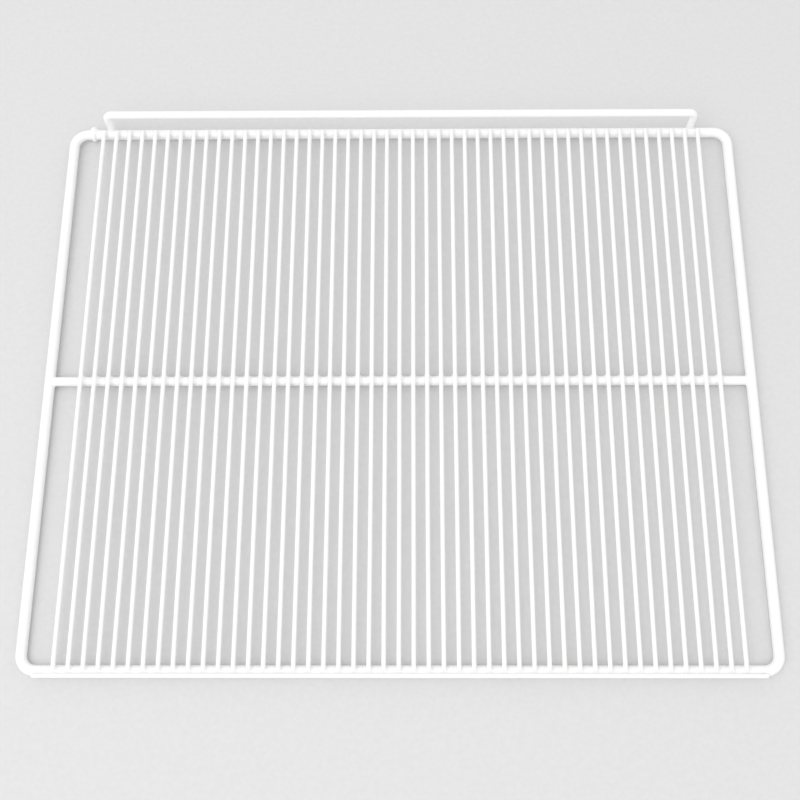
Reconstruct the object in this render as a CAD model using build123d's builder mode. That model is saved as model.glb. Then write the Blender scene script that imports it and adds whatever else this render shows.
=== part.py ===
"""White-coated wire shelf for a wine cabinet.

A thick wire frame carries a deck of thin wires, a cross bar under the middle of the deck, a raised stop along
the back and a thin lip wire along the front. X runs along the width, +Y towards the back and +Z up. The origin
is at the middle of the frame, level with the underside of the butt weld's collar, its lowest point.
"""
import os
from math import floor, sqrt

from build123d import *

# Driving dimensions in millimetres; every wire size is the diameter over the coating
frame_width = 514.5  # outside, left to right
frame_depth = 420.5  # outside, front to back
frame_wire = 7.5
frame_bend = 10.5  # corner radius at the wire's centreline
collar_from_bend = 4.2  # from the end of the left rear bend to the middle of the butt weld
collar_height = 2.3  # how far the butt weld stands proud of the frame wire
collar_crest = 3.0  # width of the butt weld's crest
collar_flare = 1.7  # how much wider each side of the butt weld is at its foot than at its crest
collar_set_out = 0.7  # how far the butt weld sits off the wire's centre, towards the back
deck_wire = 3.1
deck_pitch = 10.0
deck_margin = 19.0  # least distance from a side rail's inner face to a deck wire's centre
deck_end_gap = 0.3  # between the deck wires' rear ends and the stop's legs
mid_wire = 6.8
mid_cope = 2.0  # how far the middle bar's coped ends reach round the side rails
stop_wire = 5.8
stop_rise = 21.6  # from the top of the frame to the top of the stop
stop_bend = 4.5  # bend radius at the wire's centreline
stop_set_back = 3.5  # from the rear rail's centreline to the stop's
stop_foot_drop = 3.0  # how far the coped feet reach down from the top of the rail
lip_wire = 3.1
lip_overrun = 1.3  # how far the lip runs past the start of each front bend
lip_set_out = 3.65  # from the front rail's centreline to the lip's

# Places that follow from the sizes
rail_x = (frame_width - frame_wire) / 2
rail_y = (frame_depth - frame_wire) / 2
collar_x = frame_bend + collar_from_bend - rail_x
collar_y = rail_y + collar_set_out
collar_radius = frame_wire / 2 + collar_height
frame_z = collar_radius
frame_top = frame_z + frame_wire / 2
collar_root = collar_crest / 2 + collar_flare * collar_radius / collar_height
mid_z = frame_top - mid_wire / 2
deck_z = frame_top + deck_wire / 2
deck_side_count = floor((frame_width / 2 - frame_wire - deck_margin) / deck_pitch)
deck_count = 2 * deck_side_count + 1
stop_x = (deck_side_count - 0.5) * deck_pitch
stop_y = rail_y + stop_set_back
stop_z = frame_top + stop_rise - stop_wire / 2
deck_end = stop_y - stop_wire / 2 - deck_end_gap
lip_half = rail_x - frame_bend + lip_overrun
lip_y = -rail_y - lip_set_out
lip_z = frame_z + sqrt(((frame_wire + lip_wire) / 2) ** 2 - lip_set_out**2)

os.makedirs("parts", exist_ok=True)


def save(part, name):
    part.label = name
    export_step(part, f"parts/{name}.step")


# Perimeter frame: one wire bent round four corners, with the butt weld's collar on the rear rail
with BuildPart() as perimeter_frame:
    with BuildLine(Plane.XY.offset(frame_z)) as frame_line:
        FilletPolyline(
            (-rail_x, -rail_y),
            (rail_x, -rail_y),
            (rail_x, rail_y),
            (-rail_x, rail_y),
            radius=frame_bend,
            close=True,
        )
    with BuildSketch(Plane(frame_line.line @ 0, z_dir=frame_line.line % 0)):
        Circle(frame_wire / 2)
    sweep()
    with BuildSketch(Plane((collar_x, collar_y, frame_z))):
        with BuildLine():
            Polyline(
                (-collar_root, 0),
                (-collar_crest / 2, collar_radius),
                (collar_crest / 2, collar_radius),
                (collar_root, 0),
                close=True,
            )
        make_face()
    revolve(axis=Axis((0, collar_y, frame_z), (1, 0, 0)))
save(perimeter_frame.part, "perimeter_frame")

# Middle bar: level with the top of the frame, its ends coped to the side rails
with BuildPart() as middle_bar:
    with BuildSketch(Plane.YZ):
        with Locations((0, mid_z)):
            Circle(mid_wire / 2)
    extrude(amount=rail_x - frame_wire / 2 + mid_cope, both=True)
    add(perimeter_frame.part, mode=Mode.SUBTRACT)
save(middle_bar.part, "middle_bar")

# Deck wires: straight, each resting across the front rail, the middle bar and the rear rail
with BuildPart() as deck_rod:
    with BuildSketch(Plane.XZ):
        with Locations((0, deck_z)):
            Circle(deck_wire / 2)
    extrude(amount=deck_end, both=True)
for number in range(deck_count):
    place = Location(((number - deck_side_count) * deck_pitch, 0, 0))
    save(deck_rod.part.moved(place), f"deck_wire_{number + 1:02d}")

# Back stop: a wire bent into a wide U, its legs in line with the outermost gaps of the deck and its feet coped
# over the rear rail
with BuildPart() as back_stop:
    with BuildLine(Plane.XZ.offset(-stop_y)) as stop_line:
        FilletPolyline(
            (-stop_x, frame_top - stop_foot_drop),
            (-stop_x, stop_z),
            (stop_x, stop_z),
            (stop_x, frame_top - stop_foot_drop),
            radius=stop_bend,
        )
    with BuildSketch(Plane(stop_line.line @ 0, z_dir=stop_line.line % 0)):
        Circle(stop_wire / 2)
    sweep()
    add(perimeter_frame.part, mode=Mode.SUBTRACT)
save(back_stop.part, "back_stop")

# Front lip: a straight wire that rests on the front rail's upper shoulder, ahead of the deck wires' ends
with BuildPart() as front_lip:
    with BuildSketch(Plane.YZ):
        with Locations((lip_y, lip_z)):
            Circle(lip_wire / 2)
    extrude(amount=lip_half, both=True)
save(front_lip.part, "front_lip")
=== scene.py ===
from math import cos, copysign, pi, radians, sin, sqrt

import bmesh
import bpy
from mathutils import Matrix, Vector


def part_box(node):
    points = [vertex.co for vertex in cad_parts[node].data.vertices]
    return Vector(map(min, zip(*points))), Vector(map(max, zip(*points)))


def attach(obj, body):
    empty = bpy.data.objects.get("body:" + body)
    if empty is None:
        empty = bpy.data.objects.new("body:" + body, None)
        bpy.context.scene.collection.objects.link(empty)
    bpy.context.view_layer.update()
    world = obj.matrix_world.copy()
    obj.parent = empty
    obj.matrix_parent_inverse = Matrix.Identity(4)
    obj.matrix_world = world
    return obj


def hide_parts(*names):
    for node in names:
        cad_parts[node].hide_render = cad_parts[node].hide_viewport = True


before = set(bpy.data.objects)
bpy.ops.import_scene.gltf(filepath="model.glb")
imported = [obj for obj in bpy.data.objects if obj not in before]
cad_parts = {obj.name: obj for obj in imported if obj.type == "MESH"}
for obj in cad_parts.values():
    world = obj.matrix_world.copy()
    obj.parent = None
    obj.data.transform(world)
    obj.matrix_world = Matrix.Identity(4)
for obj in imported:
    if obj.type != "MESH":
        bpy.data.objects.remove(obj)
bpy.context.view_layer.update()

# Perimeter frame
# One thick steel wire, bent round four corners and closed by a butt weld at the left end of the rear rail.
# The whole shelf is dipped in white plastic after welding, so satin coating covers wire and weld alike.
MM = 0.001
frame_wire = 7.5 * MM
frame_bend = 10.5 * MM
frame_sides = 48
bend_steps = 14
end_share = 0.5  # what is left of a wire's radius at the tip of its rounded end
corner_signs = ((-1, -1), (1, -1), (1, 1), (-1, 1))
frame_low, frame_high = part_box("perimeter_frame")
rail_x = frame_high[0] - frame_wire / 2
rail_y = -frame_low[1] - frame_wire / 2
frame_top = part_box("deck_wire_01")[0][2]
frame_z = frame_top - frame_wire / 2
bead_from_bend = 4.2 * MM
bead_height = 2.3 * MM
bead_half = 4.4 * MM
bead_set_out = 0.7 * MM
bead_sides = 40
bead_steps = 9
bead_sag = 0.12 * MM
bead_sag_lobes = 3
bead_sag_turn = 0.8
bead_ripple = 0.07 * MM
bead_ripple_lobes = 7
bead_ripple_twist = 4
coating_light = (0.95, 0.95, 0.945, 1.0)
coating_dull = (0.90, 0.90, 0.90, 1.0)
cloud_scale = 28.0
smear_scale = 160.0
peel_scale = 900.0
wave_scale = 190.0
peel_share = 0.4
peel_strength = 0.12
peel_depth = 0.4 * MM
least_roughness = 0.26
roughness_range = 0.20


class Flow:
    """An output socket of a node tree: arithmetic on it adds Math nodes, and node() adds any other node."""

    def __init__(self, tree, socket=None):
        self.tree = tree
        self.socket = socket

    @staticmethod
    def pick(sockets, name):
        """The socket at that index, or the one in use that has that name."""
        if isinstance(name, int):
            return sockets[name]
        return next(socket for socket in sockets if socket.enabled and socket.name == name)

    def node(self, kind, settings=None, sockets=None, out=0):
        made = self.tree.nodes.new(kind)
        for name, value in (settings or {}).items():
            setattr(made, name, value)
        for name, value in (sockets or {}).items():
            socket = self.pick(made.inputs, name)
            for source in value if isinstance(value, list) else [value]:
                if isinstance(source, Flow):
                    self.tree.links.new(source.socket, socket)
                else:
                    socket.default_value = source
        return Flow(self.tree, self.pick(made.outputs, out))

    def maths(self, operation, first, second=0.0):
        return self.node("ShaderNodeMath", {"operation": operation}, {0: first, 1: second})

    def __add__(self, other):
        return self.maths("ADD", self, other)

    def __sub__(self, other):
        return self.maths("SUBTRACT", self, other)

    def __rsub__(self, other):
        return self.maths("SUBTRACT", other, self)

    def __mul__(self, other):
        return self.maths("MULTIPLY", self, other)

    def __truediv__(self, other):
        return self.maths("DIVIDE", self, other)

    def __pow__(self, other):
        return self.maths("POWER", self, other)

    __radd__ = __add__
    __rmul__ = __mul__


def noise(place, scale, detail, roughness=0.5):
    """Noise over the surface, with about that many features in a metre."""
    return place.node(
        "ShaderNodeTexNoise",
        None,
        {"Vector": place, "Scale": scale, "Detail": detail, "Roughness": roughness},
    )


def white_coating():
    """Satin white plastic over steel: faintly cloudy, with a fine orange peel and a gloss that varies."""
    material = bpy.data.materials.new("white_coating")
    material.use_nodes = True
    tree = material.node_tree
    shader = tree.nodes["Principled BSDF"]
    flow = Flow(tree)
    place = flow.node("ShaderNodeTexCoord", out="Object")
    clouds = noise(place, cloud_scale, detail=3.0)
    smears = noise(place, smear_scale, detail=4.0, roughness=0.6)
    peel = noise(place, peel_scale, detail=2.0)
    waves = noise(place, wave_scale, detail=1.0)
    colour = flow.node(
        "ShaderNodeMix",
        {"data_type": "RGBA"},
        {"Factor": clouds, "A": coating_light, "B": coating_dull},
        out="Result",
    )
    bump = flow.node(
        "ShaderNodeBump",
        None,
        {"Height": peel * peel_share + waves, "Strength": peel_strength, "Distance": peel_depth},
    )
    tree.links.new(colour.socket, shader.inputs["Base Color"])
    tree.links.new((least_roughness + roughness_range * smears).socket, shader.inputs["Roughness"])
    tree.links.new(bump.socket, shader.inputs["Normal"])
    shader.inputs["IOR"].default_value = 1.5
    return material


coating = white_coating()


def geometry_tree(name, inputs):
    """A Geometry Nodes tree with these named inputs, and the flow that leaves each input."""
    tree = bpy.data.node_groups.new(name, "GeometryNodeTree")
    tree.interface.new_socket("Geometry", in_out="OUTPUT", socket_type="NodeSocketGeometry")
    for label, kind in inputs.items():
        tree.interface.new_socket(label, in_out="INPUT", socket_type="NodeSocket" + kind)
    entry = tree.nodes.new("NodeGroupInput")
    return tree, {label: Flow(tree, entry.outputs[label]) for label in inputs}


def close_tree(geometry, material):
    """Ends a tree: instances become real, and everything gets the coating."""
    real = geometry.node("GeometryNodeRealizeInstances", None, {"Geometry": geometry})
    coated = real.node("GeometryNodeSetMaterial", None, {"Geometry": real, "Material": material})
    leave = coated.tree.nodes.new("NodeGroupOutput")
    coated.tree.links.new(coated.socket, leave.inputs[0])


def coated_wire(path, radius, rounding, sides):
    """Nodes that sweep a round section along a path of edges, and round off the ends of an open path."""
    line = path.node("GeometryNodeMeshToCurve", None, {"Mesh": path})
    along = line.node("GeometryNodeSplineParameter", out="Length")
    from_end = line.maths("MINIMUM", along, line.node("GeometryNodeSplineLength", out="Length") - along)
    short_by = line.maths("MAXIMUM", 1.0 - from_end / rounding, 0.0)
    swell = end_share + (1.0 - end_share) * (1.0 - short_by**2.0) ** 0.5
    scale = line.maths("MAXIMUM", swell, line.node("GeometryNodeInputSplineCyclic"))
    section = line.node("GeometryNodeCurvePrimitiveCircle", None, {"Resolution": sides, "Radius": radius})
    skin = line.node(
        "GeometryNodeCurveToMesh",
        None,
        {"Curve": line, "Profile Curve": section, "Scale": scale, "Fill Caps": True},
    )
    return skin.node("GeometryNodeSetShadeSmooth", None, {"Geometry": skin, "Shade Smooth": True})


wire_tree, wire_in = geometry_tree(
    "Coated wire",
    {
        "Path": "Geometry",
        "Wire Radius": "Float",
        "End Rounding": "Float",
        "Sides": "Int",
        "Coating": "Material",
    },
)
close_tree(
    coated_wire(wire_in["Path"], wire_in["Wire Radius"], wire_in["End Rounding"], wire_in["Sides"]),
    wire_in["Coating"],
)


def path_mesh(name, points, closed=False):
    """Edges through the points, as the path that a wire follows."""
    mesh = bpy.data.meshes.new(name)
    edges = [(step, step + 1) for step in range(len(points) - 1)]
    if closed:
        edges.append((len(points) - 1, 0))
    mesh.from_pydata(points, edges, [])
    return mesh


def square_bend(before, corner, after, bend):
    """Points round a right-angled corner at the bend radius, from the run before it to the run after it."""
    back = (before - corner).normalized()
    ahead = (after - corner).normalized()
    centre = corner + (back + ahead) * bend
    angles = [pi / 2 * step / bend_steps for step in range(bend_steps + 1)]
    return [centre - ahead * bend * cos(angle) - back * bend * sin(angle) for angle in angles]


def run_tree(name, tree, values, mesh=None):
    """An object that the tree makes from the values, left as a plain mesh."""
    piece = bpy.data.objects.new(name, mesh or bpy.data.meshes.new(name))
    bpy.context.scene.collection.objects.link(piece)
    modifier = piece.modifiers.new("Build", "NODES")
    modifier.node_group = tree
    for item in tree.interface.items_tree:
        if item.name in values:
            modifier[item.identifier] = values[item.name]
    shown = piece.evaluated_get(bpy.context.evaluated_depsgraph_get())
    made = bpy.data.meshes.new_from_object(shown)
    piece.modifiers.clear()
    piece.data = made
    return piece


def add_to(piece, mesh):
    """Joins a loose mesh into a piece."""
    build = bmesh.new()
    build.from_mesh(piece.data)
    build.from_mesh(mesh)
    build.to_mesh(piece.data)
    build.free()
    bpy.data.meshes.remove(mesh)


def closed_mesh(name, points, faces):
    """A smooth closed mesh whose faces all point outwards."""
    mesh = bpy.data.meshes.new(name)
    mesh.from_pydata(points, [], faces)
    build = bmesh.new()
    build.from_mesh(mesh)
    bmesh.ops.recalc_face_normals(build, faces=build.faces)
    for face in build.faces:
        face.smooth = True
    build.to_mesh(mesh)
    build.free()
    return mesh


def weld_bead(name, centre):
    """The swollen ring that a butt weld leaves round a wire along X, a little uneven in height."""
    crest = frame_wire / 2 + bead_height
    foot = frame_wire / 2 - bead_set_out
    shares = [step / bead_steps for step in range(-bead_steps, bead_steps + 1)]
    points = []
    for share in shares:
        eased = (1.0 + cos(pi * share)) / 2
        for side in range(bead_sides):
            turn = 2 * pi * side / bead_sides
            sag = bead_sag * (1.0 + sin(bead_sag_lobes * turn + bead_sag_turn))
            ripple = bead_ripple * (1.0 + sin(bead_ripple_lobes * turn + bead_ripple_twist * share))
            radius = foot + (crest - foot - sag - ripple) * eased
            points.append(centre + Vector((share * bead_half, radius * cos(turn), radius * sin(turn))))
    faces = []
    for ring in range(len(shares) - 1):
        for side in range(bead_sides):
            beside = (side + 1) % bead_sides
            low = ring * bead_sides
            faces.append((low + side, low + beside, low + bead_sides + beside, low + bead_sides + side))
    faces.append(tuple(range(bead_sides)))
    faces.append(tuple(range(len(points) - bead_sides, len(points))))
    return closed_mesh(name, points, faces)


def fit(piece, *nodes):
    """The piece stands for these CAD nodes, as part of the one rigid body."""
    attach(piece, "root")
    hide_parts(*nodes)


frame_corners = [Vector((rail_x * x, rail_y * y, frame_z)) for x, y in corner_signs]
frame_path = []
for index, corner in enumerate(frame_corners):
    following = frame_corners[(index + 1) % len(frame_corners)]
    frame_path += square_bend(frame_corners[index - 1], corner, following, frame_bend)
perimeter_frame = run_tree(
    "perimeter_frame_wire",
    wire_tree,
    {"Wire Radius": frame_wire / 2, "End Rounding": frame_wire, "Sides": frame_sides, "Coating": coating},
    path_mesh("frame path", frame_path, closed=True),
)
bead_x = frame_bend + bead_from_bend - rail_x
add_to(perimeter_frame, weld_bead("butt weld", Vector((bead_x, rail_y + bead_set_out, frame_z))))
fit(perimeter_frame, "perimeter_frame")

# Middle bar
# A straight bar across the frame, level with its top, that carries the middle of the deck.
# Its coped ends are welded to the side rails, and the coating pools in a small cove round each weld.
mid_low, mid_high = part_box("middle_bar")
mid_radius = (mid_high[2] - mid_low[2]) / 2
mid_z = (mid_high[2] + mid_low[2]) / 2
mid_sides = 40
mid_spans = 24
mid_rounding = mid_radius / 4
mid_cove = 1.3 * MM
mid_cove_gap = radians(14)
mid_cove_steps = 22
hidden_share = 0.6  # how far out from the bar's axis its coves' hidden inner edges lie
cove_steps = 3
end_steps = 5


def end_tips(rounding):
    """Distances from a wire's end, close together where its rounded edge is steep."""
    return [rounding * (1.0 - cos(pi / 2 * step / end_steps)) for step in range(end_steps + 1)]


def straight_path(start, end, rounding, spans):
    """Points from end to end of a straight wire, close together where its ends are rounded."""
    run = (end - start).normalized()
    tips = end_tips(rounding)
    middle = [start.lerp(end, span / spans) for span in range(1, spans)]
    return [start + run * tip for tip in tips] + middle + [end - run * tip for tip in reversed(tips)]


def cove_mesh(name, sections, closed):
    """A weld's cove: at each section a hollow curve from one wire to the other, and a point inside them.

    A section is the curve's two ends on the wires, the corner that it bends towards, and the inner point.
    """
    points = []
    for upper, corner, lower, inside in sections:
        for step in range(cove_steps + 1):
            share = step / cove_steps
            points.append(upper.lerp(corner, share).lerp(corner.lerp(lower, share), share))
        points.append(inside)
    around = cove_steps + 2
    faces = []
    for section in range(len(sections) if closed else len(sections) - 1):
        here = section * around
        there = (section + 1) % len(sections) * around
        for step in range(around):
            ahead = (step + 1) % around
            faces.append((here + step, here + ahead, there + ahead, there + step))
    if not closed:
        faces.append(tuple(range(around)))
        faces.append(tuple(range(len(points) - around, len(points))))
    mesh = closed_mesh(name, points, faces)
    for edge in mesh.edges:
        first, second = (vertex % around for vertex in edge.vertices)
        edge.use_edge_sharp = first == second and first in (0, cove_steps)
    return mesh


def ball_section(ball, upper, lower, inside):
    """A section whose curve is that of a ball resting against both wires."""
    first = upper - ball
    second = lower - ball
    reach = first.length_squared / (first.length_squared + first.dot(second))
    return upper, ball + (first + second) * reach, lower, inside


def bar_end_cove(name, inward):
    """The cove round one end of the middle bar, where it meets a side rail."""
    rail = frame_wire / 2
    lift = mid_z - frame_z
    centre = Vector((-inward * rail_x, 0.0, frame_z))
    sections = []
    for step in range(mid_cove_steps + 1):
        turn = pi / 2 + mid_cove_gap + (2 * pi - 2 * mid_cove_gap) * step / mid_cove_steps
        across = Vector((0.0, cos(turn), sin(turn)))
        axis = Vector((0.0, 0.0, lift))
        ball = axis + across * (mid_radius + mid_cove)
        ball.x = inward * sqrt((rail + mid_cove) ** 2 - ball.z**2)
        upper = axis + across * mid_radius
        upper.x = ball.x
        lower = Vector((ball.x, 0.0, ball.z)) * rail / (rail + mid_cove)
        lower.y = ball.y
        inside = axis + across * mid_radius * hidden_share
        inside.x = ball.x / 2
        sections.append(tuple(centre + point for point in ball_section(ball, upper, lower, inside)))
    return cove_mesh(name, sections, closed=False)


bar_left = Vector((mid_low[0], 0.0, mid_z))
bar_right = Vector((mid_high[0], 0.0, mid_z))
middle_bar = run_tree(
    "middle_bar_wire",
    wire_tree,
    {"Wire Radius": mid_radius, "End Rounding": mid_rounding, "Sides": mid_sides, "Coating": coating},
    path_mesh("bar path", straight_path(bar_left, bar_right, mid_rounding, mid_spans)),
)
for inward in (1, -1):
    add_to(middle_bar, bar_end_cove("bar weld", inward))
fit(middle_bar, "middle_bar")

# Deck wires
# Equal thin wires laid front to back across the front rail, the middle bar and the rear rail.
# They are spot-welded to all three, and the coating rounds their cut ends and fills the corner at each weld.
deck_nodes = sorted(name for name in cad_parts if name.startswith("deck_wire_"))
first_low, first_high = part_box(deck_nodes[0])
last_low, last_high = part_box(deck_nodes[-1])
deck_radius = (first_high[0] - first_low[0]) / 2
deck_end = first_high[1]
deck_z = first_low[2] + deck_radius
deck_pitch = (last_low[0] - first_low[0]) / (len(deck_nodes) - 1)
deck_rounding = 0.9 * MM
deck_sides = 22
deck_spans = 16
deck_bow = 0.22 * MM
deck_seed = 7
bar_cove = 3.0 * MM
rail_cove = 2.0 * MM
crossing_steps = 16
end_climb = 1.6 * MM
end_spread = 2.3 * MM
end_fill = 0.35


def wire_end_section(section, bar, overhang, outward):
    """A section of a crossing's cove, set to climb the rounded end of a wire that ends at y = overhang."""
    upper, corner, lower, inside = section
    tip = min(upper.y, overhang)
    short_by = max(0.0, 1.0 - (overhang - tip) / deck_rounding)
    swell = end_share + (1.0 - end_share) * sqrt(1.0 - short_by**2)
    climb = upper.z + end_climb * outward - deck_radius
    upper = Vector((upper.x * swell, tip, deck_radius + climb * swell))
    reach = min(lower.y, overhang + end_spread * outward)
    lower = Vector((lower.x, reach, sqrt(bar**2 - reach**2) - bar))
    bar_height = sqrt(bar**2 - tip**2) - bar
    end_wall = Vector((upper.x, tip, bar_height + (upper.z - bar_height) * end_fill))
    inside = Vector((inside.x, min(inside.y, 0.0), inside.z))
    return upper, corner.lerp(end_wall, outward), lower, inside


def crossing_cove(name, bar, cove, overhang=None):
    """The cove round the weld where a deck wire lies across a bar of that radius, the weld at the origin.

    Where the wire ends a little past the weld, at y = overhang, the cove climbs the wire's end there.
    """
    wire_share = deck_radius / (deck_radius + cove)
    bar_share = bar / (bar + cove)
    sections = []
    for step in range(crossing_steps):
        turn = 2 * pi * step / crossing_steps
        height = cove * cos(2 * turn)
        side = sqrt(max(0.0, (deck_radius + cove) ** 2 - (height - deck_radius) ** 2))
        along = sqrt(max(0.0, (bar + cove) ** 2 - (height + bar) ** 2))
        ball = Vector((copysign(side, cos(turn)), copysign(along, sin(turn)), height))
        upper = Vector((ball.x * wire_share, ball.y, deck_radius + (height - deck_radius) * wire_share))
        lower = Vector((ball.x, ball.y * bar_share, (height + bar) * bar_share - bar))
        inside = Vector((upper.x / 2, lower.y / 2, height / 3))
        section = ball_section(ball, upper, lower, inside)
        if overhang is not None and step <= crossing_steps / 2:
            section = wire_end_section(section, bar, overhang, sin(turn))
        sections.append(section)
    return cove_mesh(name, sections, closed=True)


def loose_object(mesh):
    """An object for a tree to copy, removed once the tree has run."""
    holder = bpy.data.objects.new(mesh.name, mesh)
    bpy.context.scene.collection.objects.link(holder)
    return holder


deck_tree, deck_in = geometry_tree(
    "Deck of wires",
    {
        "Path": "Geometry",
        "Wire Radius": "Float",
        "End Rounding": "Float",
        "Sides": "Int",
        "Count": "Int",
        "Pitch": "Float",
        "Half Length": "Float",
        "Bow": "Float",
        "Rail Offset": "Float",
        "Weld Height": "Float",
        "Bar Weld": "Object",
        "Rail Weld": "Object",
        "Seed": "Int",
        "Coating": "Material",
    },
)
deck = Flow(deck_tree)
first_x = (1.0 - deck_in["Count"]) * deck_in["Pitch"] * 0.5
row = deck.node(
    "GeometryNodeMeshLine",
    None,
    {
        "Count": deck_in["Count"],
        "Start Location": deck.node("ShaderNodeCombineXYZ", None, {"X": first_x}),
        "Offset": deck.node("ShaderNodeCombineXYZ", None, {"X": deck_in["Pitch"]}),
    },
)
one_wire = coated_wire(deck_in["Path"], deck_in["Wire Radius"], deck_in["End Rounding"], deck_in["Sides"])
wires = deck.node("GeometryNodeInstanceOnPoints", None, {"Points": row, "Instance": one_wire})
wires = deck.node("GeometryNodeRealizeInstances", None, {"Geometry": wires})
place = deck.node("GeometryNodeInputPosition")
place_x = deck.node("ShaderNodeSeparateXYZ", None, {"Vector": place}, out="X")
place_y = deck.node("ShaderNodeSeparateXYZ", None, {"Vector": place}, out="Y")
swing = deck.node(
    "FunctionNodeRandomValue",
    {"data_type": "FLOAT"},
    {
        "Min": -1.0,
        "Max": 1.0,
        "ID": deck.maths("ROUND", (place_x - first_x) / deck_in["Pitch"]),
        "Seed": deck_in["Seed"] + deck.maths("GREATER_THAN", place_y, 0.0),
    },
    out="Value",
)
bend = deck.maths("SINE", deck.maths("ABSOLUTE", place_y) * pi / deck_in["Half Length"])
wires = deck.node(
    "GeometryNodeSetPosition",
    None,
    {
        "Geometry": wires,
        "Offset": deck.node("ShaderNodeCombineXYZ", None, {"X": deck_in["Bow"] * swing * bend}),
    },
)


def weld_row(weld, offset, turn):
    """A row of welds, one under each wire, at that distance behind the middle of the deck."""
    shape = deck.node("GeometryNodeObjectInfo", None, {"Object": weld, "As Instance": True}, out="Geometry")
    welds = deck.node(
        "GeometryNodeInstanceOnPoints",
        None,
        {"Points": row, "Instance": shape, "Rotation": turn},
    )
    move = deck.node("ShaderNodeCombineXYZ", None, {"Y": offset, "Z": deck_in["Weld Height"]})
    return deck.node("GeometryNodeTransform", None, {"Geometry": welds, "Translation": move})


rows = [
    weld_row(deck_in["Bar Weld"], 0.0, (0.0, 0.0, 0.0)),
    weld_row(deck_in["Rail Weld"], deck_in["Rail Offset"], (0.0, 0.0, 0.0)),
    weld_row(deck_in["Rail Weld"], deck_in["Rail Offset"] * -1.0, (0.0, 0.0, pi)),
]
close_tree(deck.node("GeometryNodeJoinGeometry", None, {"Geometry": [wires] + rows}), deck_in["Coating"])

bar_weld = loose_object(crossing_cove("bar weld", mid_radius, bar_cove))
rail_weld = loose_object(crossing_cove("rail weld", frame_wire / 2, rail_cove, deck_end - rail_y))
wire_front = Vector((0.0, -deck_end, deck_z))
wire_rear = Vector((0.0, deck_end, deck_z))
deck_wires = run_tree(
    "deck_wires",
    deck_tree,
    {
        "Wire Radius": deck_radius,
        "End Rounding": deck_rounding,
        "Sides": deck_sides,
        "Count": len(deck_nodes),
        "Pitch": deck_pitch,
        "Half Length": deck_end,
        "Bow": deck_bow,
        "Rail Offset": rail_y,
        "Weld Height": frame_top,
        "Bar Weld": bar_weld,
        "Rail Weld": rail_weld,
        "Seed": deck_seed,
        "Coating": coating,
    },
    path_mesh("deck path", straight_path(wire_front, wire_rear, deck_rounding, deck_spans)),
)
for holder in (bar_weld, rail_weld):
    bpy.data.objects.remove(holder)
fit(deck_wires, *deck_nodes)

# Back stop
# A wire bent into a wide U that stands up behind the deck and keeps bottles off the back wall.
# Its feet are coped over the rear rail and welded there, with the coating pooled round each foot.
stop_low, stop_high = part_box("back_stop")
stop_radius = (stop_high[1] - stop_low[1]) / 2
stop_bend = 4.5 * MM
stop_x = stop_high[0] - stop_radius
stop_y = stop_low[1] + stop_radius
stop_z = stop_high[2] - stop_radius
stop_foot = stop_low[2]
stop_sides = 36
stop_spans = 24
stop_rounding = 0.8 * MM
foot_cove = 1.1 * MM
foot_cove_end = 0.1  # what is left of the cove's size where it tapers off
foot_cove_steps = 20


def foot_weld(name, leg_x):
    """The cove between a leg of the stop and the top of the rear rail, tapering off behind the rail."""
    rail = frame_wire / 2
    set_back = stop_y - rail_y
    lowest = stop_foot - frame_z + stop_rounding
    centre = Vector((leg_x, rail_y, frame_z))
    leg = Vector((0.0, set_back, 0.0))
    sections = []
    for step in range(foot_cove_steps + 1):
        share = step / foot_cove_steps
        cove = foot_cove * (foot_cove_end + (1.0 - foot_cove_end) * sin(pi * share))
        furthest = sqrt((rail + cove) ** 2 - lowest**2)
        past_side = (furthest - set_back) / (stop_radius + cove)
        turn = pi - past_side + (pi + 2 * past_side) * share
        across = Vector((cos(turn), sin(turn), 0.0))
        ball = leg + across * (stop_radius + cove)
        ball.z = sqrt((rail + cove) ** 2 - ball.y**2)
        upper = leg + across * stop_radius
        upper.z = ball.z
        lower = Vector((0.0, ball.y, ball.z)) * rail / (rail + cove)
        lower.x = ball.x
        inside = leg + across * stop_radius / 2
        inside.z = max(ball.z / 2, lowest)
        sections.append(tuple(centre + point for point in ball_section(ball, upper, lower, inside)))
    return cove_mesh(name, sections, closed=False)


left_foot = Vector((-stop_x, stop_y, stop_foot))
left_top = Vector((-stop_x, stop_y, stop_z))
right_top = Vector((stop_x, stop_y, stop_z))
right_foot = Vector((stop_x, stop_y, stop_foot))
foot_tips = end_tips(stop_rounding)
stop_path = [left_foot + Vector((0.0, 0.0, tip)) for tip in foot_tips]
stop_path += square_bend(left_foot, left_top, right_top, stop_bend)
stop_path += [left_top.lerp(right_top, span / stop_spans) for span in range(1, stop_spans)]
stop_path += square_bend(left_top, right_top, right_foot, stop_bend)
stop_path += [right_foot + Vector((0.0, 0.0, tip)) for tip in reversed(foot_tips)]
back_stop = run_tree(
    "back_stop_wire",
    wire_tree,
    {"Wire Radius": stop_radius, "End Rounding": stop_rounding, "Sides": stop_sides, "Coating": coating},
    path_mesh("stop path", stop_path),
)
for leg_x in (-stop_x, stop_x):
    add_to(back_stop, foot_weld("foot weld", leg_x))
fit(back_stop, "back_stop")

# Front lip
# A thin straight wire along the upper shoulder of the front rail, ahead of the deck wires' cut ends.
# It is welded to the rail along its length, and coating gathers deep in the groove on either side of it.
lip_low, lip_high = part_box("front_lip")
lip_radius = (lip_high[2] - lip_low[2]) / 2
lip_y = (lip_low[1] + lip_high[1]) / 2
lip_z = (lip_low[2] + lip_high[2]) / 2
lip_rounding = 0.7 * MM
lip_sides = 28
lip_spans = 24
lip_cove = 0.2 * MM


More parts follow.
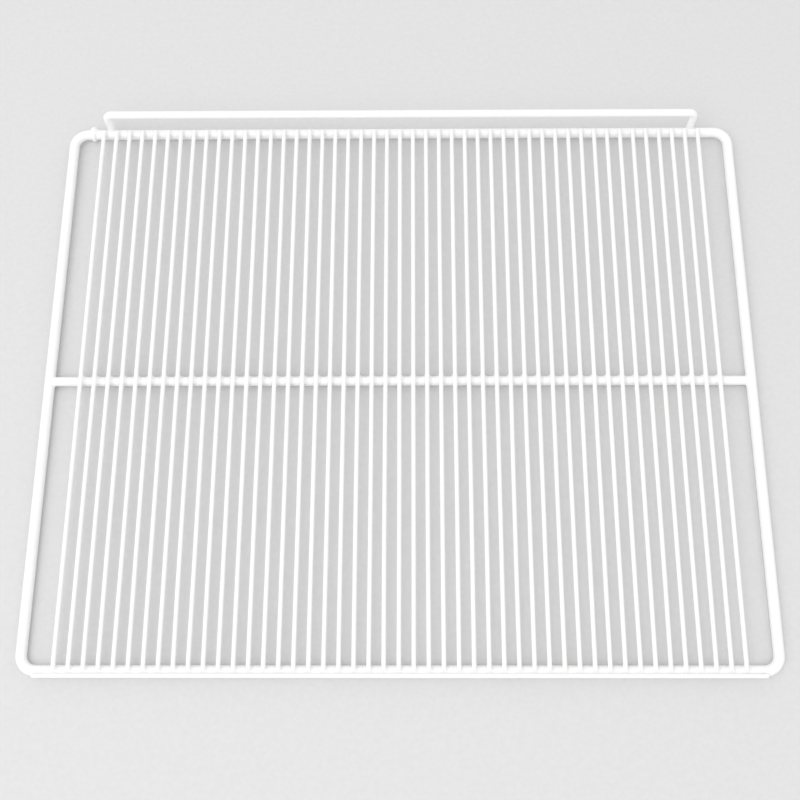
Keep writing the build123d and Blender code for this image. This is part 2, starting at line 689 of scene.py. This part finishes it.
def groove_cove(name, side):
    """The strip of coating along one side of the line where the lip touches the front rail."""
    rail = frame_wire / 2
    rail_axis = Vector((0.0, -rail_y, frame_z))
    lip_axis = Vector((0.0, lip_y, lip_z))
    between = lip_axis - rail_axis
    towards = between.normalized()
    sideways = Vector((0.0, -towards.z, towards.y)) * side
    to_rail = rail + lip_cove
    to_lip = lip_radius + lip_cove
    along = (to_rail**2 - to_lip**2 + between.length_squared) / (2 * between.length)
    ball = rail_axis + towards * along + sideways * sqrt(to_rail**2 - along**2)
    upper = lip_axis.lerp(ball, lip_radius / to_lip)
    lower = rail_axis.lerp(ball, rail / to_rail)
    inside = rail_axis + towards * rail
    reach = rail_x - frame_bend
    sections = []
    for span in range(lip_spans + 1):
        shift = Vector((reach * (2 * span / lip_spans - 1), 0.0, 0.0))
        sections.append(tuple(shift + point for point in ball_section(ball, upper, lower, inside)))
    return cove_mesh(name, sections, closed=False)


lip_left = Vector((lip_low[0], lip_y, lip_z))
lip_right = Vector((lip_high[0], lip_y, lip_z))
front_lip = run_tree(
    "front_lip_wire",
    wire_tree,
    {"Wire Radius": lip_radius, "End Rounding": lip_rounding, "Sides": lip_sides, "Coating": coating},
    path_mesh("lip path", straight_path(lip_left, lip_right, lip_rounding, lip_spans)),
)
for side in (1, -1):
    add_to(front_lip, groove_cove("lip groove", side))
fit(front_lip, "front_lip")

# Floor
# A plain pale studio surface that the shelf lies on. It slopes by a third of a degree, because the shelf
# rests on its front rail and on the bead of the butt weld.
floor_half = 20.0
floor_dark = (0.66, 0.66, 0.66, 1.0)
floor_light = (0.73, 0.73, 0.73, 1.0)
mottle_scale = 300.0
rail_foot = frame_z - frame_wire / 2
floor_slope = -bead_height / (2 * rail_y)


def pale_floor():
    """Matt off-white with a faint mottle."""
    material = bpy.data.materials.new("pale_floor")
    material.use_nodes = True
    shader = material.node_tree.nodes["Principled BSDF"]
    flow = Flow(material.node_tree)
    place = flow.node("ShaderNodeTexCoord", out="Object")
    mottle = noise(place, mottle_scale, detail=5.0)
    colour = flow.node(
        "ShaderNodeMix",
        {"data_type": "RGBA"},
        {"Factor": mottle, "A": floor_dark, "B": floor_light},
        out="Result",
    )
    material.node_tree.links.new(colour.socket, shader.inputs["Base Color"])
    shader.inputs["Roughness"].default_value = 0.9
    shader.inputs["Specular IOR Level"].default_value = 0.2
    return material


floor_corners = [(floor_half * x, floor_half * y) for x, y in corner_signs]
floor_points = [(x, y, rail_foot + (y + rail_y) * floor_slope) for x, y in floor_corners]
floor_mesh = bpy.data.meshes.new("floor")
floor_mesh.from_pydata(floor_points, [], [(0, 1, 2, 3)])
floor_mesh.materials.append(pale_floor())
floor = bpy.data.objects.new("floor", floor_mesh)
bpy.context.scene.collection.objects.link(floor)

# Studio light
# A white surround that is brighter low down, and one large soft lamp high in front on the left.
horizon_light = 1.1
zenith_light = 0.8
lamp_power = 28.0
lamp_size = 2.5
lamp_place = Vector((-1.0, -1.0, 2.5))

world = bpy.data.worlds.new("studio")
world.use_nodes = True
sky = Flow(world.node_tree)
direction = sky.node("ShaderNodeTexCoord", out="Generated")
height = sky.node("ShaderNodeSeparateXYZ", None, {"Vector": direction}, out="Z")
glow = sky.maths("MAXIMUM", height, 0.0) * (zenith_light - horizon_light) + horizon_light
background = world.node_tree.nodes["Background"]
background.inputs["Color"].default_value = (1.0, 1.0, 1.0, 1.0)
world.node_tree.links.new(glow.socket, background.inputs["Strength"])
bpy.context.scene.world = world
lamp_data = bpy.data.lights.new("soft lamp", "AREA")
lamp_data.energy = lamp_power
lamp_data.size = lamp_size
lamp = bpy.data.objects.new("soft lamp", lamp_data)
lamp.location = lamp_place
lamp.rotation_euler = (-lamp_place).to_track_quat("-Z", "Y").to_euler()
bpy.context.scene.collection.objects.link(lamp)
bpy.context.scene.view_settings.view_transform = "Standard"

# Camera
# High above the front edge and looking down steeply, as the photograph was taken.
picture_width = 800
focal_pixels = 1238.66
sensor_width = 36.0
camera_pitch = radians(70.0)
camera_yaw = 0.03177
camera_roll = -0.03168
camera_distance = 890.77 * MM
camera_aim = Vector((0.40 * MM, -14.46 * MM, frame_z))
nearest_seen = 10.0 * MM

ahead = Vector((0.0, cos(camera_pitch), -sin(camera_pitch)))
above = Vector((0.0, sin(camera_pitch), cos(camera_pitch)))
turned = Matrix.Rotation(camera_yaw, 3, "Z")
ahead, above, across = turned @ ahead, turned @ above, turned @ Vector((1.0, 0.0, 0.0))
right = across * cos(camera_roll) + above * sin(camera_roll)
up = above * cos(camera_roll) - across * sin(camera_roll)
camera_data = bpy.data.cameras.new("camera")
camera_data.sensor_width = sensor_width
camera_data.lens = focal_pixels * sensor_width / picture_width
camera_data.clip_start = nearest_seen
camera = bpy.data.objects.new("camera", camera_data)
stand = camera_aim - ahead * camera_distance
camera.matrix_world = Matrix.Translation(stand) @ Matrix((right, up, -ahead)).transposed().to_4x4()
bpy.context.scene.collection.objects.link(camera)
bpy.context.scene.camera = camera
